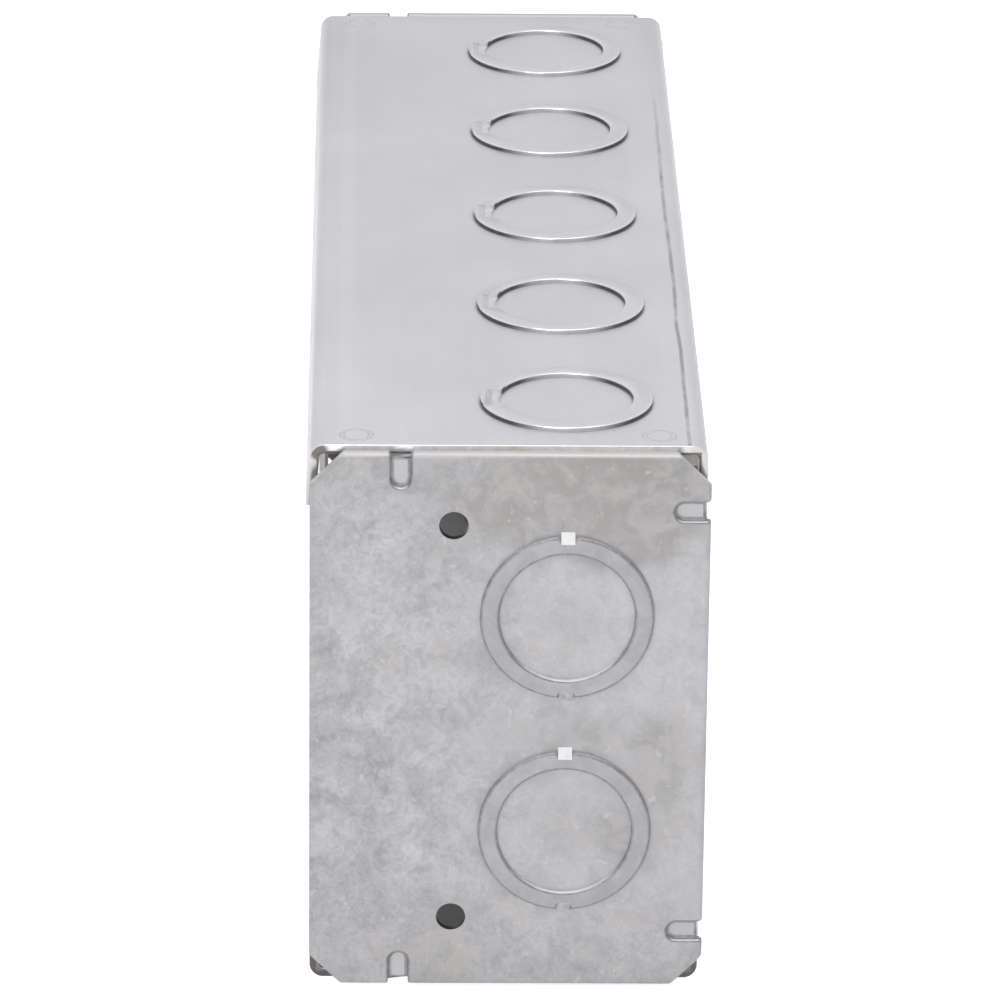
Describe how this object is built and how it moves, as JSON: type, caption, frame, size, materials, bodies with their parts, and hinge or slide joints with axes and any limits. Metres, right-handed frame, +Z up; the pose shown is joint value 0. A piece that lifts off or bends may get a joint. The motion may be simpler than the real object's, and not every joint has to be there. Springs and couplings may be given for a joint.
{
  "type": "flush back box",
  "caption": "Long folded sheet-steel flush back box for masonry, open at the front between two lips, with end plates and rows of concentric knockouts.",
  "frame": {"origin": "middle of the footprint of the whole box, at the level of the lowest knockout rims, on which the box rests", "axes": "+X along the row of gangs, towards the end that the picture shows; -Y out of the open front; +Z up, towards the upper lip"},
  "size_m": [0.235, 0.0662, 0.0969],
  "materials": {
    "wrap_steel": "galvanised sheet, smooth light grey",
    "plate_steel": "galvanised sheet, softly spangled, with light specks and stains"
  },
  "bodies": {
    "root": {"box_wrap": "wrap_steel", "end_plate_right": "plate_steel", "end_plate_left": "plate_steel"}
  },
  "joints": []
}
